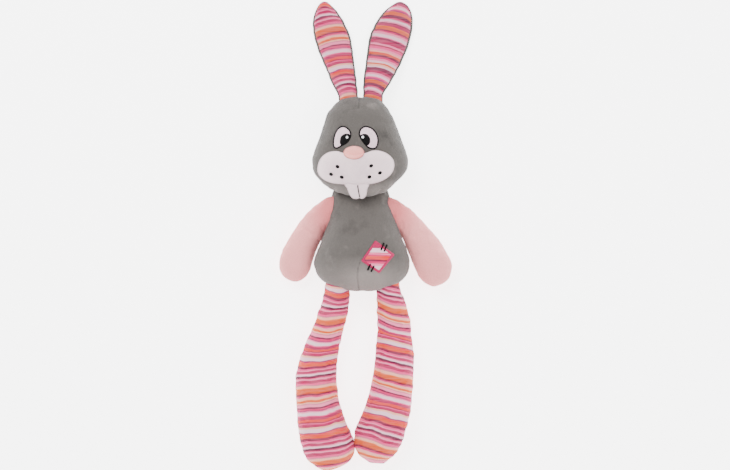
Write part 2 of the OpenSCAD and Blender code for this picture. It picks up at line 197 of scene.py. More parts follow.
# Each print is a list of (where a band starts in mm along the cloth, its colour).
ORANGE, DEEP_ORANGE, SALMON, APRICOT = (204, 78, 0), (176, 40, 0), (214, 46, 30), (226, 104, 10)
MAGENTA, HOT, MAUVE, GREYED = (158, 0, 70), (204, 10, 92), (140, 14, 88), (196, 100, 124)
PLUM, WINE, BRICK = (78, 0, 42), (106, 0, 48), (130, 20, 40)
PALE, PINK, PEACH, CHALK = (240, 118, 156), (228, 52, 122), (240, 166, 142), (232, 192, 204)

PRINT_A = [
    (0, ORANGE), (2, DEEP_ORANGE), (2.8, PINK), (3.3, PLUM), (4.4, HOT), (6.1, PALE), (7, PEACH),
    (9.2, APRICOT), (9.8, ORANGE), (11.9, PEACH), (13.2, GREYED), (14.3, PALE), (17.2, PLUM), (18.8, HOT),
    (20.8, MAUVE), (21.8, PALE), (23.2, CHALK), (26.4, PINK), (27.6, MAGENTA), (30.8, SALMON),
    (33.6, BRICK), (34.8, PINK), (36, MAGENTA), (39, PEACH), (41, CHALK), (44.8, MAUVE), (46.2, SALMON),
    (49, ORANGE), (50.4, SALMON), (51.4, WINE), (54, PINK), (55.8, PALE), (56.8, MAGENTA), (59.6, PALE),
    (60.8, CHALK), (62.4, PLUM), (65, HOT), (66, PALE), (67.8, MAGENTA), (71, PINK), (72.8, GREYED),
    (74.2, PEACH), (76.8, APRICOT), (77.7, ORANGE),
]
PRINT_B = [
    (0, ORANGE), (2, PLUM), (5.4, HOT), (6.4, GREYED), (7.4, CHALK), (9.6, PALE), (11, PLUM),
    (12.2, MAGENTA), (15.2, APRICOT), (16.4, ORANGE), (19.6, WINE), (21.2, HOT), (22.6, PALE), (25, CHALK),
    (28.6, PINK), (29.6, PLUM), (31.6, MAGENTA), (36, PALE), (38.2, BRICK), (39.4, PINK), (42, PALE),
    (44.4, PEACH), (46, SALMON), (47.2, ORANGE), (48.8, PLUM), (51.4, HOT), (53.6, PALE), (56, CHALK),
    (58.4, ORANGE), (60, PEACH), (62, CHALK), (63.6, PLUM), (67.6, MAGENTA), (70.4, PALE), (72.4, CHALK),
    (75, PINK), (76.6, MAUVE), (78.2, ORANGE),
]
PRINT_PATCH = [
    (0, MAGENTA), (8, CHALK), (13, HOT), (14.2, PALE), (15.4, HOT), (17, SALMON), (21.4, WINE), (23.6, HOT),
    (26, PALE), (28.4, CHALK), (33.4, PINK), (35.6, MAGENTA), (60, MAGENTA),
]
PRINT_PARTS = 4             # ramps that share the repeat, as one holds too few stops


def print_ramp(n, along, bands):
    """The print's colour where along runs from 0 to 1 over one repeat."""
    edge = 0.3 / REPEAT
    colour = None
    for part in range(PRINT_PARTS):
        first, last = part / PRINT_PARTS, (part + 1) / PRINT_PARTS
        stops = []
        for (start, shade), nxt in zip(bands, bands[1:] + [(REPEAT, bands[0][1])]):
            low, high = start / REPEAT, nxt[0] / REPEAT
            if high <= first or low >= last:
                continue
            low, high = max(low + edge, first), min(high - edge, last)
            if high > low:
                stops += [((end - first) * PRINT_PARTS, linear(shade)) for end in (low, high)]
        ramp = n.ramp(n.range(along, first, last), stops)
        colour = ramp if colour is None else n.mix(n.math("GREATER_THAN", along, first), colour, ramp)
    return colour


def printed_cotton(name, bands, pocket=1.0, wavy=7.0, depth=0.0):
    """Striped cotton: soft-edged bands that wander a little, a twill weave, and pale streaks across it,
    painted light as on the crests of small folds.
    """
    n = Nodes(name)
    rest = n.rest()
    wander = n.noise(n.scaled(rest, (1.0, 0.8, 1.0)), 30.0, 1.0)
    grain = n.noise(n.scaled(rest, (0.25, 1.6, 1.0)), 5.0, 2.0)
    run = n.attribute("run").outputs["Fac"]
    run = n.math("ADD", run, n.math("MULTIPLY", n.math("SUBTRACT", wander, 0.5), wavy))
    run = n.math("ADD", run, n.math("MULTIPLY", n.math("SUBTRACT", grain, 0.5), 1.6))
    along = n.math("FRACT", n.math("DIVIDE", run, REPEAT))
    colour = print_ramp(n, along, bands)
    colour = n.mix(depth, colour, linear((96, 10, 50)))
    # Pale streaks across the cloth: painted light, as on the crests of small folds.
    painted_fold_light = n.noise(n.scaled(rest, (0.12, 2.2, 1.0)), 4.0, 3.0)
    colour = n.mix(n.range(painted_fold_light, 0.3, 0.7, 0.0, 0.16), colour, linear((232, 160, 176)))
    twill = n.new("ShaderNodeTexWave", wave_type="BANDS", bands_direction="DIAGONAL")
    n.link(n.scaled(rest, (1.0, -1.0, 1.0)), twill.inputs["Vector"])
    twill.inputs["Scale"].default_value = 0.34
    twill.inputs["Distortion"].default_value = 0.6
    colour = n.mix(n.range(twill.outputs["Fac"], 0.0, 1.0, 0.1, 0.0), colour, linear((150, 80, 100)))
    seam = n.range(n.attribute("seam").outputs["Fac"], 0.0, 1.6, 0.45, 0.0)
    colour = n.mix(seam, colour, linear((120, 60, 84)))
    normal = n.bump(twill.outputs["Fac"], 0.16, 0.5)
    normal = n.bump(n.noise(n.scaled(rest, (0.5, 1.6, 1.0)), 7.0, 3.0), 1.3 * pocket, 0.8, normal)
    return n.finish(colour, normal, roughness=0.85, sheen=0.04, specular=0.12)


def plush(name, base, light, dark, nap=1.0):
    """Short-pile plush: the nap lies in patches, light one way and dark the other, over a fine fur grain."""
    n = Nodes(name)
    rest = n.rest()
    patches = n.noise(n.scaled(rest, (1.0, 0.7, 1.0)), 24.0, 3.0, 0.6)
    strokes = n.noise(n.scaled(rest, (1.5, 0.7, 1.0)), 6.5, 3.0, 0.6)
    fur = n.noise(rest, 0.8, 2.0, 0.7)
    tones = ((0.3, dark), (0.46, base), (0.62, base), (1.0, light))
    colour = n.ramp(patches, [(at, linear(tone)) for at, tone in tones])
    colour = n.mix(n.range(strokes, 0.35, 0.65, 0.0, 0.5), colour, linear(base))
    # The shade attribute mixes in the light tone: painted light under the chin, painted shade near the
    # shoulders, and a lighter lower belly.
    shade = n.attribute("shade").outputs["Fac"]
    colour = n.mix(n.math("MULTIPLY", shade, 0.85), colour, linear(light))
    colour = n.mix(n.range(fur, 0.3, 0.6, 0.22, 0.0), colour, linear([c * 0.62 for c in base]))
    seam = n.range(n.attribute("seam").outputs["Fac"], 0.0, 1.5, 0.55, 0.0)
    colour = n.mix(seam, colour, linear([c * 0.5 for c in base]))
    normal = n.bump(fur, 0.5 * nap, 0.7)
    normal = n.bump(n.noise(rest, 2.6, 3.0, 0.65), 0.8 * nap, 0.5, normal)
    normal = n.bump(strokes, 1.2 * nap, 0.35, normal)
    return n.finish(colour, normal, roughness=0.95, sheen=0.2, sheen_roughness=0.4, specular=0.08)


def satin(name, colour, thread=0.5, gloss=0.5, specular=0.25):
    """Embroidery thread laid side by side: fine ridges across the line, with a silky gloss."""
    n = Nodes(name)
    ridges = n.math("FRACT", n.math("DIVIDE", n.attribute("run").outputs["Fac"], thread))
    ridge = n.math("ABSOLUTE", n.math("SUBTRACT", ridges, 0.5))
    tone = n.noise(n.rest(), 1.4, 2.0)
    shade = n.mix(n.range(tone, 0.3, 0.7, 0.0, 0.35), linear(colour), linear([c * 0.72 for c in colour]))
    # Thread edges are painted darker: painted shade in the grooves between threads.
    shade = n.mix(n.range(ridge, 0.3, 0.5, 0.0, 0.45), shade, linear([c * 0.5 for c in colour]))
    normal = n.bump(ridge, 0.3, 0.6)
    return n.finish(shade, normal, roughness=gloss, specular=specular)


GREY_PLUSH = plush("grey_plush", (83, 79, 76), (140, 131, 127), (64, 61, 59))
PINK_PLUSH = plush("pink_plush", (219, 120, 121), (243, 160, 159), (198, 98, 100))
WHITE_PLUSH = plush("white_plush", (234, 210, 214), (240, 220, 225), (218, 192, 200), nap=0.7)
NOSE_PLUSH = plush("nose_plush", (242, 158, 150), (246, 172, 164), (228, 138, 134), nap=0.6)
LEG_COTTON = printed_cotton("leg_cotton", PRINT_A)
EAR_COTTON_A = printed_cotton("right_ear_cotton", PRINT_A, 0.5, 3.0, 0.24)
EAR_COTTON_B = printed_cotton("left_ear_cotton", PRINT_B, 0.5, 3.0, 0.24)
PATCH_COTTON = printed_cotton("patch_cotton", PRINT_PATCH, 0.3, 1.0)
BLACK_THREAD = satin("black_thread", (5, 4, 5), gloss=0.6, specular=0.08)
WHITE_THREAD = satin("white_thread", (238, 208, 218))
GLINT_THREAD = satin("glint_thread", (246, 246, 248))
PINK_THREAD = satin("pink_thread", (178, 14, 80), thread=0.7)

# ---------------------------------------------------------------- soft forms

# A row is one cross-section: [y, left x, right x, lowest z, z of the side seams, highest z, slope].
# slope is how fast the section rises towards +X, which is the way the stripes run.
BODY = [
    [-65, -12, 4, 22, 31, 40, 0], [-63.2, -26, 19, 16, 31, 46, 0], [-59.6, -38.5, 30, 9, 31, 53, 0],
    [-54, -51, 42, 3, 31, 60, 0], [-44, -58.6, 49.6, 0.6, 31, 67, 0], [-33, -61, 51.4, 0, 31, 71, 0],
    [-20, -57.6, 48.8, 0, 31, 73, 0], [-3, -51, 42.4, 0, 31, 70, 0], [17, -45, 36.8, 0, 31, 60, 0],
    [33, -43.4, 31.8, 1.4, 30, 50, 0], [45, -41.8, 29.8, 5, 29, 43, 0], [52, -39, 27.6, 9.4, 29, 41, 0],
    [58, -31, 19, 13, 29, 41, 0], [62.5, -19, 7, 18, 29, 38, 0], [64.5, -11, -1, 23, 29, 34, 0],
]
HEAD = [
    [45.6, -14, 2, 52, 57, 61, 0], [48, -28, 16, 49, 56, 66, 0.02], [52, -38.6, 26.5, 42, 52, 71, 0.02],
    [57.2, -47.2, 31.6, 31, 47, 74, 0.02], [64.3, -54.2, 38.4, 19, 41, 76, 0],
    [71.3, -60, 44.8, 10, 37, 78, 0], [79, -62.6, 49.4, 4.4, 35, 79, 0], [87, -63, 49.6, 1.4, 35, 79, 0],
    [99.5, -59.6, 46, 0, 34, 77, 0], [113.6, -53.6, 40.4, 0, 33, 74, 0],
    [127.7, -49.2, 35.4, 1.2, 32, 68, 0], [141.8, -45.4, 29.6, 5.4, 31, 60, 0],
    [150, -39.4, 24.2, 10, 30, 52, 0], [156, -33.6, 19.4, 14, 29, 43, 0], [159.5, -27, 14, 20, 29, 37, 0],
    [161.6, -16, 4, 25, 29, 32, 0],
]
RIGHT_LEG = [
    [-50, -43, -24, 23, 31, 40, 0], [-56, -46.6, -20.8, 17, 31, 43, 0], [-63, -47.8, -20, 14, 30, 43, 0],
    [-70, -48.4, -20, 11, 28, 40, 0], [-80, -50.4, -21, 3, 22, 37, 0], [-89, -52.8, -22.6, 0, 18, 35.5, 0],
    [-92.5, -55.2, -23.2, 0, 18, 35, 0.01], [-100, -56.6, -24.4, 0, 18, 35, 0.02],
    [-111, -61.2, -28.2, 0, 17, 35, 0.04], [-122, -65.8, -30.8, 0, 17, 35.4, 0.06],
    [-133.5, -71.2, -33.2, 0, 17.5, 36, 0.08], [-145, -75, -35, 0, 18, 37.4, 0.09],
    [-156, -79, -35.6, 0, 18.5, 38.6, 0.1], [-167, -82.4, -34.8, 0, 19.5, 40.6, 0.11],
    [-178, -83.2, -33, 0, 20, 42, 0.12], [-200, -82.4, -28.6, 0, 21, 44.5, 0.15],
    [-223, -81, -20.8, 0, 22, 46.5, 0.18], [-234, -79.4, -16.2, 0, 22.5, 47, 0.19],
    [-245, -76.8, -13.8, 0, 22.5, 46.4, 0.2], [-256.5, -73, -14, 0, 21.5, 43.6, 0.2],
    [-263.5, -68.6, -18.6, 3, 21, 39.6, 0.18], [-270, -60.8, -28, 7, 20, 34, 0.14],
    [-273.6, -54.4, -37, 12, 20, 28.4, 0.1], [-275.4, -50, -42, 16, 20, 24, 0.05],
]
LEFT_LEG = [
    [-49, 17, 36, 23, 31, 40, -0.2], [-55, 14.4, 38.4, 17, 31, 43, -0.22],
    [-62, 12.8, 39.6, 14, 30, 43, -0.24], [-68, 12.6, 40.6, 11, 28, 41, -0.25],
    [-78, 13.2, 45, 5, 24, 37.6, -0.25], [-89, 14.4, 48.6, 1, 19, 36, -0.25],
    [-100, 15.4, 50.8, 0, 18, 36, -0.25], [-111, 15.8, 51.4, 0, 18, 36, -0.25],
    [-118, 15.4, 50.4, 0, 17.5, 36, -0.25], [-122.5, 15, 52.6, 0, 17.5, 36.2, -0.25],
    [-134, 13.2, 53.6, 0, 18, 37.4, -0.25], [-145, 11.6, 55.4, 0, 18.5, 38.6, -0.25],
    [-156, 9.6, 55.8, 0, 19.4, 40, -0.25], [-178, 5.2, 55.4, 0, 20.6, 42.6, -0.26],
    [-190, 1.8, 54.8, 0, 21, 44, -0.27], [-201, -2, 54.2, 0, 21.5, 45, -0.28],
    [-212, -6.4, 52.8, 0, 22, 46, -0.28], [-223, -11, 50.4, 0, 22, 46, -0.28],
    [-234, -13.6, 47, 0, 22, 45.6, -0.28], [-245, -13.4, 43, 0, 21.5, 43.6, -0.26],
    [-256.5, -8.2, 36, 3, 21, 38.6, -0.22], [-263, 0.4, 28, 7, 20, 33, -0.14],
    [-267, 6.4, 22.6, 13, 20, 27, -0.06],
]
RIGHT_EAR = [
    [149, -29, -12, 25, 29, 32, 0.1], [156, -32.4, -8.4, 24, 29, 33, 0.14],
    [163, -33.9, -7.8, 23, 28, 33, 0.16], [177, -41, -9.2, 16, 22.5, 29.5, 0.18],
    [191, -46.8, -10.6, 9, 16, 23.5, 0.19], [205, -52.7, -12.6, 4, 11, 18.5, 0.2],
    [219, -58.4, -14.2, 1, 8, 15, 0.2], [233, -62.2, -16.8, 0, 6, 13, 0.2],
    [246, -64.2, -21.8, 0, 5.5, 12.5, 0.2], [257, -63.2, -27.8, 0, 5.5, 12, 0.2],
    [266, -60, -34.4, 0, 5.5, 11, 0.18], [272.4, -56, -41, 1, 5.5, 9.6, 0.12],
    [275.8, -51.8, -46, 3, 5.5, 7.6, 0],
]
LEFT_EAR = [
    [149, 0, 17, 25, 29, 32, -0.1], [156, -3.6, 20.6, 24, 29, 33, -0.16],
    [163, -4.6, 21.4, 23, 28, 33, -0.2], [177, -4.5, 29.6, 16, 22.5, 29.5, -0.24],
    [191, -3.3, 37.6, 9, 16, 23.5, -0.26], [205, -1.2, 44.4, 4, 11, 18.5, -0.26],
    [219, 0.3, 50.4, 1, 8, 15, -0.26], [233, 2.8, 54.4, 0, 6, 13, -0.26],
    [246, 8, 56.8, 0, 5.5, 12.5, -0.25], [257, 14.4, 56.4, 0, 5.5, 12, -0.24],
    [266, 22.4, 53.4, 0, 5.5, 11, -0.2], [272.4, 30.6, 48.8, 1, 5.5, 9.6, -0.12],
    [275.8, 37, 43.2, 3, 5.5, 7.6, 0],
]
# The arms slant, so their sections are given by both ends:
# [left x, left y, right x, right y, lowest z, z of the side seams, highest z].
RIGHT_ARM = [
    [-32, 43, -34, 18, 25, 30, 35], [-37, 45, -39, 12, 22, 30, 37], [-42.4, 45, -44, 7, 18, 29, 38],
    [-56.6, 36.2, -48.6, 3, 10, 26, 38], [-70, 25.2, -51.4, -3.4, 3, 21, 36.5],
    [-81, 10, -55.2, -9.4, 0, 18, 35], [-91.6, -5.6, -59, -17.6, 0, 17, 35],
    [-99.4, -20.2, -62, -27.4, 0, 17, 35.5], [-102.4, -34.4, -64.2, -37.6, 0, 17, 34],
    [-99.4, -45.4, -68.4, -47.2, 2, 17, 30], [-92.6, -51.6, -74.4, -52.4, 6, 17, 25.5],
    [-86, -54.6, -80, -54.8, 11, 16.5, 21],
]
LEFT_ARM = [
    [25, 15, 22, 42, 25, 30, 35], [31, 9, 27, 44, 22, 30, 37], [37.6, 4, 31.6, 42.8, 18, 29, 38],
    [43.4, -2, 44.6, 35.4, 10, 26, 38], [46.2, -8, 57.2, 25.6, 3, 21, 37],
    [48.4, -14.6, 71.2, 10, 0, 18.5, 36], [51.4, -22.4, 86, -5.2, 0, 18, 36.5],
    [54.4, -31, 95.4, -21, 0, 18, 37], [57.6, -40, 101.6, -36.2, 0, 18, 36],
    [61.6, -48.8, 99, -48.4, 2, 17.5, 32], [68, -56, 91.4, -56.8, 6, 17, 27],
    [75.4, -59.8, 83.8, -60, 11, 16.5, 21],
]


def smooth(rows, positions, at):
    """Rows of numbers interpolated without overshoot: a cubic whose slopes are limited at each row."""
    rows = np.array(rows, float)
    step = np.diff(positions)
    rise = np.diff(rows, axis=0) / step[:, None]
    slope = np.zeros_like(rows)
    same = rise[1:] * rise[:-1] > 0
    w1 = (2 * step[1:] + step[:-1])[:, None]
    w2 = (step[1:] + 2 * step[:-1])[:, None]
    before, after = np.where(same, rise[:-1], 1), np.where(same, rise[1:], 1)
    slope[1:-1] = np.where(same, (w1 + w2) / (w1 / before + w2 / after), 0)
    slope[0], slope[-1] = rise[0], rise[-1]
    k = np.clip(np.searchsorted(positions, at, side="right") - 1, 0, len(step) - 1)
    t = ((at - positions[k]) / step[k])[:, None]
    h = step[k][:, None]
    return (
        rows[k] * (1 + 2 * t) * (1 - t) ** 2 + slope[k] * h * t * (1 - t) ** 2
        + rows[k + 1] * t * t * (3 - 2 * t) + slope[k + 1] * h * t * t * (t - 1)
    )


def sections_from_rows(rows, count):
    """Rows with a slope, resampled as pairs of seam points [lx, ly, rx, ry, low, seam, high]."""
    rows = sorted(rows)
    table = np.array(rows, float)
    positions = table[:, 0]

    def at(y):
        return smooth(table, positions, np.clip(np.array([y]), positions[0], positions[-1]))[0]

    reach = np.linspace(0, 1, count)
    ease = 0.5 - 0.5 * np.cos(math.pi * reach)
    ys = positions[0] + (positions[-1] - positions[0]) * (0.55 * reach + 0.45 * ease)
    sections = []
    for y in ys:
        row = at(y)
        centre = (row[1] + row[2]) / 2
        ends = []
        for side in (1, 2):
            x = row[side]
            for _ in range(3):
                x = at(y + row[6] * (x - centre))[side]
            ends += [x, y + row[6] * (x - centre)]
        sections.append([*ends, row[3], row[4], row[5]])
    return np.array(sections)


def sections_from_pairs(pairs, count):
    pairs = np.array(pairs, float)
    centres = (pairs[:, 0:2] + pairs[:, 2:4]) / 2
    positions = np.concatenate([[0], np.cumsum(np.linalg.norm(np.diff(centres, axis=0), axis=1))])
    reach = np.linspace(0, 1, count)
    ease = 0.5 - 0.5 * np.cos(math.pi * reach)
    return smooth(pairs, positions, positions[-1] * (0.6 * reach + 0.4 * ease))


NO_SEAM = 99.0              # the distance given to cloth that is far from any seam, in mm


def build_mesh(name, verts_mm, faces, materials, face_materials=None, **values):
    """A smooth mesh object with its rest position and any other per-point values as attributes."""
    verts_mm = np.asarray(verts_mm, float)
    mesh = bpy.data.meshes.new(name)
    mesh.from_pydata((verts_mm * MM).tolist(), [], [list(map(int, f)) for f in faces])
    for m in materials:
        mesh.materials.append(m)
    if face_materials is not None:
        mesh.polygons.foreach_set("material_index", np.asarray(face_materials, np.int32))
    mesh.polygons.foreach_set("use_smooth", np.ones(len(faces), bool))
    rest = mesh.attributes.new("rest", "FLOAT_VECTOR", "POINT")
    rest.data.foreach_set("vector", verts_mm.astype(np.float32).ravel())
    for key in ("run", "seam", "shade"):
        missing = NO_SEAM if key == "seam" else 0.0
        data = np.broadcast_to(np.asarray(values.get(key, missing), np.float32), len(verts_mm))
        mesh.attributes.new(key, "FLOAT", "POINT").data.foreach_set("value", np.ascontiguousarray(data))
    mesh.validate()
    mesh.update()
    obj = bpy.data.objects.new(name, mesh)
    bpy.context.scene.collection.objects.link(obj)
    return obj


def ripple(position, seed, sizes=(7.0, 11.0, 17.0)):
    """A wandering line between about -1 and 1: sines of uneven length, set by the seed."""
    rng = np.random.default_rng(seed)
    total = 0
    for size in sizes:
        wave = size * rng.uniform(0.8, 1.25)
        total = total + np.sin(2 * math.pi * position / wave + rng.uniform(0, 6.28))
    return total / len(sizes)


TIP_TO_SEAM = 20.0          # the distance from the seam that a form's two tips are given, in mm
FLOOR_GAP = 0.15            # the least height of cloth over the floor, in mm


def soft_form(name, sections, materials, around=56, flat=1.16, pucker=0.8, fold=0.5, seed=1, run=None,
              bow=0.0, seam_depth=0.9, crown=2.0, shade=None, wrap=0.0):
    """A stuffed form skinned over its sections, with puckers at its side seams and shallow folds."""
    s = np.asarray(sections)
    rings, half = len(s), around // 2
    left, right = s[:, 0:2], s[:, 2:4]
    centre, reach = (left + right) / 2, (right - left) / 2
    low, seam_z, high = s[:, 4], s[:, 5], s[:, 6]
    along = np.concatenate([[0], np.cumsum(np.linalg.norm(np.diff(np.c_[centre, seam_z], axis=0), axis=1))])
    angle = 2 * math.pi * np.arange(around) / around
    cos, sin = np.cos(angle), np.sin(angle)
    width = np.sign(cos) * np.abs(cos) ** (2 / crown)
    lift = np.sign(sin) * np.abs(sin) ** (2 / crown)
    xy = centre[:, None, :] + reach[:, None, :] * width[None, :, None]
    top = (high - seam_z)[:, None] * np.maximum(lift, 0)
    fall = np.minimum(-lift * flat, 1 - 0.06 * (1 - np.minimum(-lift, 1)))
    bottom = (seam_z - low)[:, None] * np.maximum(fall, 0)
    z = seam_z[:, None] + np.where(sin >= 0, top, -bottom)
    points = np.concatenate([xy, z[:, :, None]], axis=2)

    # distance from the nearer side seam, over the cloth
    girth = (np.linalg.norm(reach, axis=1) + (high - low) / 2) / 2
    from_right = np.minimum(np.abs(angle - wrap), 2 * math.pi - angle + wrap)
    from_left = np.abs(angle - math.pi + wrap)
    near = np.minimum(from_right, from_left)
    seam_mm = near[None, :] * girth[:, None]
    inward = points - np.concatenate([centre, seam_z[:, None]], axis=1)[:, None, :]
    inward /= np.maximum(np.linalg.norm(inward, axis=2, keepdims=True), 1e-6)
    ends = np.minimum(along, along[-1] - along)
    body = np.clip(ends / 14.0, 0, 1)[:, None]
    gather = np.where(from_right < from_left, ripple(along, seed)[:, None], ripple(along, seed + 1)[:, None])
    push = pucker * gather * np.exp(-seam_mm / 7.0)
    push += fold * ripple(along[:, None] + 3.0 * np.sin(angle + seed)[None, :], seed + 2, (12.0, 19.0, 31.0))
    push *= body
    push -= seam_depth * np.exp(-(seam_mm / 1.6) ** 2) * body
    points = points + inward * push[:, :, None]
    points[:, :, 2] = np.maximum(points[:, :, 2], FLOOR_GAP)

    verts = points.reshape(-1, 3)
    faces, face_materials = [], []
    rim = round(wrap / (2 * math.pi) * around)
    for i in range(rings - 1):
        for j in range(around):
            k = (j + 1) % around
            faces.append((i * around + j, i * around + k, (i + 1) * around + k, (i + 1) * around + j))
            face_materials.append(0 if rim <= j < half - rim else len(materials) - 1)
    tips = [(0, centre[0], seam_z[0]), (rings - 1, centre[-1], seam_z[-1])]
    for ring, point, height in tips:
        hub = len(verts)
        verts = np.vstack([verts, [*point, height]])
        for j in range(around):
            a, b = ring * around + j, ring * around + (j + 1) % around
            faces.append((hub, b, a) if ring == 0 else (hub, a, b))
            face_materials.append(0 if rim <= j < half - rim else len(materials) - 1)
    onward = [*(centre[rings // 2 + 1] - centre[rings // 2]), 0]
    if np.dot(np.cross([*reach[rings // 2], 0], [0, 0, 1]), onward) < 0:
        faces = [f[::-1] for f in faces]
    values = {"seam": np.concatenate([seam_mm.ravel(), [TIP_TO_SEAM, TIP_TO_SEAM]])}
    if run is not None:
        line = run(centre[:, 1])[:, None] + bow * np.maximum(sin, 0)[None, :] ** 2
        values["run"] = np.concatenate([line.ravel(), [line[0, 0], line[-1, 0]]])
    if shade is not None:
        values["shade"] = shade(verts)
    return build_mesh(name, verts, faces, materials, face_materials, **values)


def subdivided(obj):
    """One subdivision, applied, so that what rides on the body is the final mesh."""
    modifier = obj.modifiers.new("subdivision", "SUBSURF")
    modifier.levels = modifier.render_levels = 1
    bpy.context.view_layer.update()
    graph = bpy.context.evaluated_depsgraph_get()
    mesh = bpy.data.meshes.new_from_object(obj.evaluated_get(graph), preserve_all_data_layers=True,
                                           depsgraph=graph)
    obj.modifiers.clear()
    obj.data = mesh
    mesh.name = obj.name
    return obj


SIM_SCALE = 10.0            # cloth is simulated ten times life size, where the solver's pressure bites
SIM_FRAMES = 20
PRESSURE = 4.0
BENDING = 0.4
SEAM_REACH = 3.0            # how far from a seam the cloth is tight, in mm


def stuffed(obj, loose, cap):
    """Fills the skin as cloth, slack between tighter seams and blown up, with each point's travel capped."""
    mesh = obj.data
    count = len(mesh.vertices)
    start = np.zeros(count * 3)
    mesh.vertices.foreach_get("co", start)
    start = start.reshape(-1, 3)
    seam = np.zeros(count, np.float32)
    mesh.attributes["seam"].data.foreach_get("value", seam)
    mesh.vertices.foreach_set("co", (start * SIM_SCALE).ravel())
    tight = obj.vertex_groups.new(name="tight")
    for i in range(count):
        tight.add([i], float(math.exp(-(seam[i] / SEAM_REACH) ** 2)), "REPLACE")
    modifier = obj.modifiers.new("cloth", "CLOTH")
    cloth = modifier.settings
    cloth.quality = 5
    cloth.mass = 0.3
    cloth.tension_stiffness = cloth.compression_stiffness = 15
    cloth.shear_stiffness = 5
    cloth.bending_stiffness = BENDING
    cloth.use_pressure = True
    cloth.uniform_pressure_force = PRESSURE
    cloth.vertex_group_shrink = "tight"
    cloth.shrink_min = -loose
    cloth.shrink_max = loose * 0.3
    cloth.effector_weights.gravity = 0
    modifier.collision_settings.use_collision = False
    modifier.point_cache.frame_start = 1
    modifier.point_cache.frame_end = SIM_FRAMES
    scene = bpy.context.scene
    for f in range(1, SIM_FRAMES + 1):
        scene.frame_set(f)
    graph = bpy.context.evaluated_depsgraph_get()
    moved = np.zeros(count * 3)
    obj.evaluated_get(graph).data.vertices.foreach_get("co", moved)
    moved = moved.reshape(-1, 3) / SIM_SCALE
    travel = moved - start
    length = np.linalg.norm(travel, axis=1, keepdims=True)
    travel *= np.minimum(1, cap * MM / np.maximum(length, 1e-9))
    final = start + travel
    final[:, 2] = np.maximum(final[:, 2], FLOOR_GAP * MM)
    obj.modifiers.clear()
    obj.vertex_groups.clear()
    mesh.vertices.foreach_set("co", final.ravel())
    mesh.update()
    scene.frame_set(1)
    return obj


# ---------------------------------------------------------------- surfaces that trim is sewn to


class Skin:
    """The tops of finished pieces, for trim that lies on them."""

    def __init__(self, *objects):
        self.trees = [BVHTree.FromObject(o, bpy.context.evaluated_depsgraph_get()) for o in objects]

    def height(self, x, y):
        best = None
        for tree in self.trees:
            hit = tree.ray_cast(Vector((x * MM, y * MM, 0.3)), Vector((0, 0, -1)))[0]
            if hit is not None and (best is None or hit.z > best):
                best = hit.z
        return 0.0 if best is None else best / MM


def curve_through(points, count, closed=True):
    """Points on a smooth line through the given ones."""
    p = np.asarray(points, float)
    n = len(p)
    if closed:
        p = np.vstack([p[-1], p, p[0], p[1]])
    else:
        p = np.vstack([2 * p[0] - p[1], p, 2 * p[-1] - p[-2]])
    spans = n if closed else n - 1
    out = []
    for u in np.linspace(0, spans, count, endpoint=not closed):
        i = min(int(u), spans - 1)
        t = u - i
        a, b, c, d = p[i:i + 4]
        bend = (2 * a - 5 * b + 4 * c - d) * t ** 2
        out.append(0.5 * (2 * b + (c - a) * t + bend + (3 * b - a - 3 * c + d) * t ** 3))
    return np.array(out)


def applique(name, outline, skin, material, thick, sink=0.6, rings=8, dome=6.0, base=0.0, run_axis=None,
             edge_count=72, smoothed=True):
    """A pad over a closed outline, following the skin under it: thick at its middle, rounded at its edge."""
    line = curve_through(outline, edge_count) if smoothed else np.asarray(outline, float)
    count = len(line)
    centre = line.mean(axis=0)
    verts, faces, seam = [], [], []
    size = np.linalg.norm(line - centre, axis=1).mean()
    shares = [math.sin(math.pi / 2 * (k + 1) / rings) for k in range(rings)]
    for share in shares:
        rise = max(0.0, 1 - share ** dome) ** (1 / 2)
        for p in line:
            q = centre + (p - centre) * share
            verts.append([*q, skin.height(*q) + base + thick * rise])
            seam.append((1 - share) * size)
    for p in line:
        verts.append([*p, skin.height(*p) - sink])
        seam.append(0)
    for i in range(rings):
        for j in range(count):
            k = (j + 1) % count
            faces.append((i * count + j, i * count + k, (i + 1) * count + k, (i + 1) * count + j))
    verts.append([*centre, skin.height(*centre) + base + thick])
    seam.append(size)
    faces += [(len(verts) - 1, (j + 1) % count, j) for j in range(count)]
    verts = np.array(verts)
    area = np.sum(line[:, 0] * np.roll(line[:, 1], -1) - np.roll(line[:, 0], -1) * line[:, 1])
    if area > 0:
        faces = [f[::-1] for f in faces]
    run = verts @ np.array([*(run_axis or (0, 1)), 0])
    return build_mesh(name, verts, faces, [material], run=run, seam=np.array(seam))


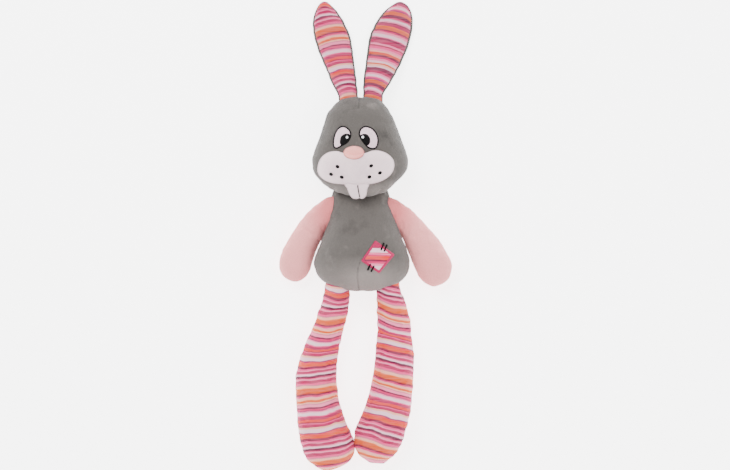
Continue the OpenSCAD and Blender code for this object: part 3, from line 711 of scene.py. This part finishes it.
def satin_line(name, points, skin, material, width, height=0.7, closed=True, count=120, lift=0.0, ends=0.5):
    """A raised embroidered line that follows the skin, with its thread running across it."""
    line = curve_through(points, count, closed) if len(points) > 2 or closed else np.linspace(*points, count)
    ahead = np.roll(line, -1, 0) if closed else np.vstack([line[1:], 2 * line[-1] - line[-2]])
    behind = np.roll(line, 1, 0) if closed else np.vstack([2 * line[0] - line[1], line[:-1]])
    way = ahead - behind
    way /= np.linalg.norm(way, axis=1, keepdims=True)
    side = np.c_[-way[:, 1], way[:, 0]]
    travelled = np.concatenate([[0], np.cumsum(np.linalg.norm(np.diff(line, axis=0), axis=1))])
    profile = [(math.cos(a), math.sin(a)) for a in np.linspace(math.pi, 0, 7)]
    verts, run = [], []
    for i, p in enumerate(line):
        taper = 1.0
        if not closed:
            gone = min(travelled[i], travelled[-1] - travelled[i]) / (ends * width)
            taper = math.sqrt(max(0.05, 1 - (1 - min(1, gone)) ** 2))
        for c, s in profile:
            q = p + side[i] * c * width / 2 * taper
            verts.append([*q, skin.height(*q) + lift - 0.3 + (height + 0.3) * s * taper])
            run.append(travelled[i])
    across = len(profile)
    faces = []
    for i in range(count if closed else count - 1):
        k = (i + 1) % count
        for j in range(across - 1):
            faces.append((i * across + j, k * across + j, k * across + j + 1, i * across + j + 1))
        faces.append((i * across + across - 1, k * across + across - 1, k * across, i * across))
    if not closed:
        faces.append(tuple(range(across)))
        faces.append(tuple(range((count - 1) * across + across - 1, (count - 1) * across - 1, -1)))
    return build_mesh(name, verts, faces, [material], run=np.array(run))


def joined(name, parts):
    """Several meshes as one piece."""
    bpy.ops.object.select_all(action="DESELECT")
    for o in parts:
        o.select_set(True)
    bpy.context.view_layer.objects.active = parts[0]
    if len(parts) > 1:
        bpy.ops.object.join()
    parts[0].name = name
    return parts[0]


def place(piece, body, replaced=()):
    """The piece rides on its body and stands for the CAD nodes it replaces."""
    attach(piece, body)
    if replaced:
        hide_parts(*replaced)
    return piece


def place_across(piece, seam_body, body, start, end, slot, replaced, fill):
    """For a limb: its placement is baked into its mesh and the CAD nodes it replaces are hidden."""
    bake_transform(piece)
    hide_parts(*replaced)
    return piece


# ---------------------------------------------------------------- body and head


def lighter_below(verts):
    """The belly is coloured lighter towards the legs, most of all along the middle."""
    down = np.clip((-24 - verts[:, 1]) / 24, 0, 1)
    middle = np.exp(-((verts[:, 0] - 2) / 28) ** 2)
    return np.clip(down * (0.3 + 0.8 * middle) + 0.08, 0, 1)


def painted_shoulder_shade(verts):
    """The arms are painted darker within about 40 mm of the shoulder and lighter beyond: painted shade where
    they meet the body.
    """
    shoulder = np.where(verts[:, 0] < 0, -33, 24)
    far = np.hypot(verts[:, 0] - shoulder, verts[:, 1] - 30)
    return np.clip((far - 16) / 26, 0, 1)


def painted_chin_light(verts):
    """The head's grey is painted lighter under the chin: painted light, as from below."""
    return np.clip((66 - verts[:, 1]) / 14, 0, 1) * 0.8


DART_ABOVE = 34             # darts are pressed only into cloth above this height, in mm


def creased(obj, line, width, depth):
    """Presses a sewn dart into a finished mesh along a line, and marks it as a seam for the material."""
    path = curve_through(line, 60, closed=False)
    mesh = obj.data
    count = len(mesh.vertices)
    co = np.zeros(count * 3)
    mesh.vertices.foreach_get("co", co)
    co = co.reshape(-1, 3) / MM
    seam = np.zeros(count, np.float32)
    mesh.attributes["seam"].data.foreach_get("value", seam)
    gap = np.min(np.linalg.norm(co[:, None, :2] - path[None], axis=2), axis=1)
    gap = np.where(co[:, 2] > DART_ABOVE, gap, NO_SEAM)
    co[:, 2] -= depth * np.exp(-(gap / width) ** 2)
    mesh.attributes["seam"].data.foreach_set("value", np.minimum(seam, gap).astype(np.float32))
    mesh.vertices.foreach_set("co", (co * MM).ravel())
    mesh.update()
    return obj


body = soft_form("body", sections_from_rows(BODY, 84), [GREY_PLUSH], around=96, pucker=0.7, fold=0.35,
                 seed=11, crown=2.15, shade=lighter_below)
stuffed(body, loose=0.03, cap=2.0)
subdivided(body)
creased(body, [(-7.2, -32.7), (-9.4, -41.3), (-9.8, -49.8), (-8, -66)], 2.2, 1.3)

head = soft_form("head", sections_from_rows(HEAD, 84), [GREY_PLUSH], around=96, pucker=0.5, fold=0.25,
                 seed=21, crown=2.2, shade=painted_chin_light)
stuffed(head, loose=0.02, cap=1.6)
subdivided(head)
creased(head, [(-8.6, 149), (-8.2, 154), (-8, 162)], 3.0, 1.6)

# ---------------------------------------------------------------- limbs and ears


def leg_run(first):
    """The print's distance along a limb, counted down from y = first."""
    return lambda y: first - y


def leg(name, rows, first, seed, bow):
    piece = soft_form(name, sections_from_rows(rows, 110), [LEG_COTTON], around=64, pucker=1.1, fold=0.55,
                      seed=seed, run=leg_run(first), bow=bow, crown=2.1)
    stuffed(piece, loose=0.06, cap=2.6)
    return subdivided(piece)


def arm(name, pairs, seed):
    piece = soft_form(name, sections_from_pairs(pairs, 72), [PINK_PLUSH], around=64, pucker=0.5, fold=0.3,
                      seed=seed, crown=2.1, shade=painted_shoulder_shade)
    stuffed(piece, loose=0.03, cap=1.8)
    return subdivided(piece)


def ear(name, rows, first, cotton, seed, bow):
    piece = soft_form(name, sections_from_rows(rows, 80), [cotton, GREY_PLUSH], around=64, pucker=0.5,
                      fold=0.25, seed=seed, run=leg_run(first), bow=bow, flat=1.1, wrap=math.radians(22.5))
    stuffed(piece, loose=0.03, cap=1.4)
    return subdivided(piece)


right_leg = leg("right_leg", RIGHT_LEG, -102, 31, -3.0)
left_leg = leg("left_leg", LEFT_LEG, -88, 41, -0.5)
right_arm = arm("right_arm", RIGHT_ARM, 51)
left_arm = arm("left_arm", LEFT_ARM, 61)
right_ear = ear("right_ear", RIGHT_EAR, 237.5, EAR_COTTON_A, 71, 3.0)
left_ear = ear("left_ear", LEFT_EAR, 256.5, EAR_COTTON_B, 81, 3.0)

# ---------------------------------------------------------------- face

face = Skin(head)
MUZZLE = [
    (-35.6, 98), (-46, 95.6), (-53.6, 88.6), (-56.9, 78), (-55.6, 71), (-50, 64.8), (-40.6, 60.6),
    (-31, 59.2), (-22, 58.8), (-10, 58.6), (2.8, 59), (12.4, 60.6), (22.6, 64.9), (30, 71.4), (33.4, 80),
    (32, 88), (26, 94.4), (17, 98.2), (8, 98.6), (0.4, 96), (-14, 93), (-27, 96),
]
muzzle = applique("muzzle", MUZZLE, face, WHITE_PLUSH, 9.5, rings=16, dome=2.6, edge_count=120)
cheeks = Skin(head, muzzle)
NOSE = [(-26.4, 95.6), (-24, 100.6), (-18, 103.4), (-12, 103.8), (-6, 102.2), (-2.4, 98.6), (-2, 94.4),
        (-5.6, 90.2), (-12, 88), (-18.6, 88.6), (-24, 91.4)]
nose = applique("nose_pad", NOSE, cheeks, NOSE_PLUSH, 5.0, rings=12, dome=2.2, edge_count=72)

RIGHT_EYE = [(-27.1, 126.8), (-21.6, 124.6), (-18.2, 119.6), (-18.6, 113.6), (-22.6, 107.8), (-28.6, 104.4),
             (-33.2, 101.8), (-36.8, 102.4), (-38, 106.6), (-37.4, 112.9), (-35.6, 119.2), (-32, 124.6)]
LEFT_EYE = [(1.2, 126.6), (7.5, 124.1), (12, 118.7), (14.1, 112), (13.6, 105.7), (11.1, 101.7), (6.6, 101),
            (2.1, 103), (-2.4, 108), (-5.9, 113.4), (-7.5, 118.6), (-5.9, 123.4), (-2.8, 125.9)]
RIGHT_PUPIL = [(-30.6, 109.8), (-29.4, 115), (-25, 118.2), (-19.6, 118), (-18.6, 114.6), (-20.4, 110.4),
               (-24, 106.8), (-28.4, 104.9), (-30.4, 106.4)]
LEFT_PUPIL = [(-5.2, 117.4), (-1.4, 118.4), (3, 116.5), (5.3, 112), (4.9, 107), (2, 104.4), (-1.8, 107.4),
              (-5, 112), (-6.6, 115.4)]


def ellipse(at, half, tilt=0.0, count=24):
    c, s = math.cos(math.radians(tilt)), math.sin(math.radians(tilt))
    out = []
    for a in np.linspace(0, 2 * math.pi, count, endpoint=False):
        u, v = half[0] * math.cos(a), half[1] * math.sin(a)
        out.append((at[0] + u * c - v * s, at[1] + u * s + v * c))
    return out


for side, eye, pupil, glint in (("right", RIGHT_EYE, RIGHT_PUPIL, (-22, 114.1)),
                                ("left", LEFT_EYE, LEFT_PUPIL, (-3.6, 114.3))):
    white = applique(side + "_eye_white_piece", eye, face, WHITE_THREAD, 0.7, run_axis=(0.3, 1))
    place(white, "head", [side + "_eye_white"])
    line = satin_line(side + "_eye_line", eye, face, BLACK_THREAD, 2.0, 1.1)
    place(line, "head", [side + "_eye_outline"])
    dark = applique(side + "_pupil_piece", pupil, face, BLACK_THREAD, 0.8, base=0.4, run_axis=(1, 0.4))
    place(dark, "head", [side + "_pupil"])
    dot = applique(side + "_glint_piece", ellipse(glint, (1.5, 1.5), count=12), face, GLINT_THREAD, 0.7,
                   base=1.1, edge_count=32)
    place(dot, "head", [side + "_eye_glint"])

SPOTS = {
    "right": [(-33.2, 79.6), (-40.8, 70.7), (-28.2, 67.2)],
    "left": [(6.2, 80.5), (16.5, 72.3), (4.1, 67.5)],
}
for side, spots in SPOTS.items():
    made = [applique(f"{side}_spot_{i}", ellipse(at, (2.5, 2.0), -25 if side == "right" else 25, 12), cheeks,
                     BLACK_THREAD, 0.9, edge_count=28, rings=5) for i, at in enumerate(spots)]
    place(joined(side + "_whiskers", made), "head", [side + "_whisker_spots"])

place(head, "head", ["head_front_panel", "head_back_panel", "head_stuffing"])
place(muzzle, "head", ["muzzle_cover", "muzzle_wadding"])
place(nose, "head", ["nose"])

# ---------------------------------------------------------------- teeth

TEETH = [(-23.6, 60.4), (-22, 54), (-20.4, 49.6), (-18, 45), (-14.4, 42), (-10, 41.8), (-7.4, 42.8),
         (-4.8, 41.9), (-1.6, 43.2), (0.8, 47), (1.7, 53), (2.2, 60.4)]


class Slope:
    """The plane that the teeth flap lies in."""

    hinge_y, hinge_z, drop = 57.0, 75.8, math.tan(math.radians(25))

    def height(self, x, y):
        return self.hinge_z - (self.hinge_y - y) * self.drop


flap = Slope()
teeth = applique("teeth", TEETH, flap, WHITE_PLUSH, 1.8, sink=1.8, rings=10, dome=5.0, edge_count=96)
teeth_skin = Skin(teeth)
tooth_line = satin_line("tooth_line", [(-9.7, 58.2), (-8.6, 51), (-7.2, 43.4)], teeth_skin, BLACK_THREAD,
                        1.4, 0.8, closed=False, count=50)
place(teeth, "teeth", ["teeth_front", "teeth_back"])
place(tooth_line, "teeth", ["teeth_line"])

# ---------------------------------------------------------------- belly patch

belly = Skin(body)
PATCH = [(11.3, -7.1), (33.4, -23.5), (15.6, -44.8), (-5.1, -30.6)]


def polygon_line(corners, per_side):
    corners = np.asarray(corners, float)
    out = []
    for a, b in zip(corners, np.roll(corners, -1, 0)):
        out += [a + (b - a) * k / per_side for k in range(per_side)]
    return np.array(out)


patch_line = polygon_line(PATCH, 14)
patch_centre = patch_line.mean(axis=0)
PATCH_SHARE, BORDER_SHARE = 0.94, 0.93     # of the outline, for the cotton and the middle of its border
STRIPE_START, STRIPE_FALL = -8, 0.04       # where the patch's print starts in y, and how it falls towards +X
STRIPE_MIDDLE = 13                         # the x at which that start holds
patch = applique("patch", patch_centre + (patch_line - patch_centre) * PATCH_SHARE, belly, PATCH_COTTON, 0.9,
                 rings=8, dome=12, smoothed=False)
run_values = np.zeros(len(patch.data.vertices), np.float32)
patch.data.attributes["run"].data.foreach_get("value", run_values)
patch_points = np.zeros(len(run_values) * 3)
patch.data.vertices.foreach_get("co", patch_points)
across = patch_points[0::3] / MM - STRIPE_MIDDLE
stripes = (STRIPE_START - run_values - STRIPE_FALL * across).astype(np.float32)
patch.data.attributes["run"].data.foreach_set("value", stripes)
place(patch, "torso", ["belly_patch"])
inset = patch_centre + (patch_line - patch_centre) * BORDER_SHARE
border = satin_line("patch_border_line", inset, belly, PINK_THREAD, 3.0, 1.7, count=180)
PATCH_CORNER = [(11.2, -8.4), (18, -13), (15.4, -14.6), (7, -14.8)]
corner = applique("patch_corner", PATCH_CORNER, belly, PINK_THREAD, 1.3, rings=5, dome=12, edge_count=40,
                  sink=0.2, run_axis=(0.6, 0.8))
place(joined("patch_border_piece", [border, corner]), "torso", ["patch_border"])
BARS = [((21.3, -9.2), (17.7, -18.5)), ((25.1, -11.4), (21.3, -19.9)),
        ((5.6, -34.2), (2, -42)), ((9.9, -36.3), (5.9, -43.8))]
bars = [satin_line(f"bar_{i}", [np.array(a), np.array(b)], belly, BLACK_THREAD, 1.9, 1.5, closed=False,
                   count=24, lift=1.2) for i, (a, b) in enumerate(BARS)]
place(joined("patch_bars", bars), "torso", ["patch_stitches"])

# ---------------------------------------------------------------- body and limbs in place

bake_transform(body)
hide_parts("body_front_panel", "body_back_panel", "body_stuffing", "neck_stitching")
ROOTS = {
    # limb: (sewn seam's node, its body, from the seam's middle to where the bend starts and ends, slot, fill)
    "ear": ("ear_stitching", "ear_root", (0, -3, 0), (0, 13, 0), "printed_cotton", 0.3),
    "arm": ("shoulder_stitching", "shoulder", (0, 0, 0), (16, -6, 0), "pink_plush", 0.85),
    "leg": ("hip_stitching", "hip", (0, 3, 0), (0, -22, 0), "printed_cotton", 0.8),
}
LAYERS = {
    "ear": ("front", "back", "wadding"),
    "arm": ("front", "back", "stuffing"),
    "leg": ("front", "back", "stuffing"),
}
LIMBS = {
    "right": {"ear": right_ear, "arm": right_arm, "leg": right_leg},
    "left": {"ear": left_ear, "arm": left_arm, "leg": left_leg},
}
for side, outward in (("right", -1), ("left", 1)):
    for limb, (seam, seam_body, start, end, slot, fill) in ROOTS.items():
        low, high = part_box(f"{side}_{seam}")
        root = (low + high) / 2 / MM
        turned = [root + Vector((outward * x, y, z)) for x, y, z in (start, end)]
        nodes = [f"{side}_{limb}_{layer}" for layer in LAYERS[limb]] + [f"{side}_{seam}"]
        place_across(LIMBS[side][limb], f"{side}_{seam_body}", f"{side}_{limb}", *turned, slot, nodes, fill)

# ---------------------------------------------------------------- floor and light

FLOOR_HALF = 4000
floor_corners = [(x * FLOOR_HALF, y * FLOOR_HALF, 0) for x, y in ((-1, -1), (1, -1), (1, 1), (-1, 1))]
floor = build_mesh("floor", floor_corners, [(0, 1, 2, 3)], [Nodes("floor").material])
floor_shader = floor.data.materials[0].node_tree.nodes["Principled BSDF"]
floor_shader.inputs["Base Color"].default_value = linear((250, 250, 250))
floor_shader.inputs["Roughness"].default_value = 0.9
floor_shader.inputs["Emission Color"].default_value = linear((255, 255, 255))
floor_shader.inputs["Emission Strength"].default_value = 4.2


def softbox(name, at, size, power):
    """A square light at a place in metres, turned to the rabbit."""
    light = bpy.data.objects.new(name, bpy.data.lights.new(name, "AREA"))
    light.data.shape = "SQUARE"
    light.data.size = size
    light.data.energy = power
    light.location = at
    light.rotation_euler = (Vector((0, 0, 0.03)) - Vector(at)).to_track_quat("-Z", "Y").to_euler()
    bpy.context.scene.collection.objects.link(light)
    return light


softbox("key", (-0.7, 0.9, 1.9), 1.2, 62)
softbox("fill", (1.1, 0.2, 1.7), 1.4, 26)
softbox("low", (0.1, -1.6, 1.2), 1.2, 16)
world = bpy.data.worlds.new("world")
world.use_nodes = True
world.node_tree.nodes["Background"].inputs["Color"].default_value = linear((255, 255, 255))
world.node_tree.nodes["Background"].inputs["Strength"].default_value = 0.85
bpy.context.scene.world = world
